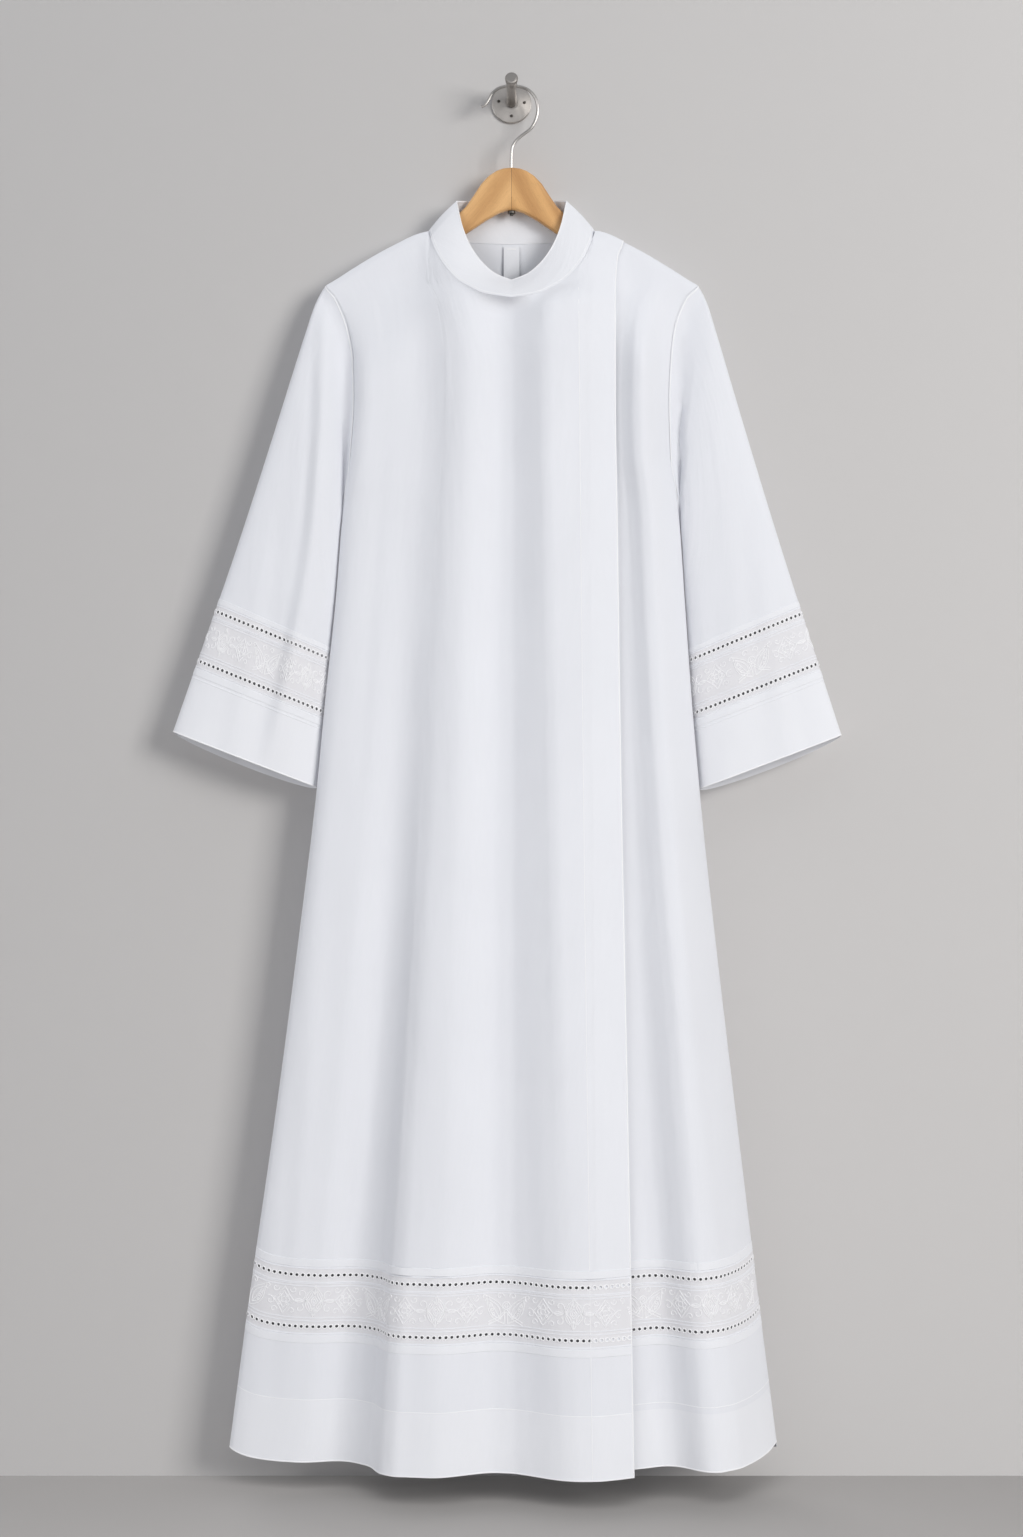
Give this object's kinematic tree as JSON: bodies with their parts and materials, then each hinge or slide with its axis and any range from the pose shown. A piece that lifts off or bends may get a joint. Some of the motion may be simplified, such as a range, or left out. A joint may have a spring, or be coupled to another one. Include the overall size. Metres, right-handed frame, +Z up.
{
  "type": "alb on a wooden hanger and wall hook",
  "caption": "White side-closing alb with a stand collar, wide sleeves and lace bands, hanging by a wooden hanger from a round steel wall hook.",
  "frame": {"origin": "centre of the wall hook's flat back face", "axes": "+Z up, +Y into the wall, so the front of the alb faces -Y and the wearer's left is at +X"},
  "size_m": [0.784, 0.1537, 1.6158],
  "materials": {
    "poplin": "matt",
    "lace": "matt",
    "beech": "satin lacquer",
    "plate_steel": "brushed",
    "wire_steel": "polished",
    "dark_steel": "dark"
  },
  "bodies": {
    "root": {"front_upper_main": "poplin", "front_upper_lace": "lace", "front_upper_hem": "poplin", "front_under_main": "poplin", "front_under_lace": "lace", "front_under_hem": "poplin", "back_main": "poplin", "back_lace": "lace", "back_hem": "poplin", "sleeve_right_upper": "poplin", "sleeve_right_lace": "lace", "sleeve_right_cuff": "poplin", "sleeve_left_upper": "poplin", "sleeve_left_lace": "lace", "sleeve_left_cuff": "poplin", "collar": "poplin", "neck_tape": "poplin", "hanger_right": "beech", "hanger_left": "beech", "hanger_hook": "wire_steel", "hook_nut": "dark_steel", "wall_plate": "plate_steel", "wall_peg": "plate_steel", "screw_1": "dark_steel", "screw_2": "dark_steel", "screw_3": "dark_steel"}
  },
  "joints": []
}
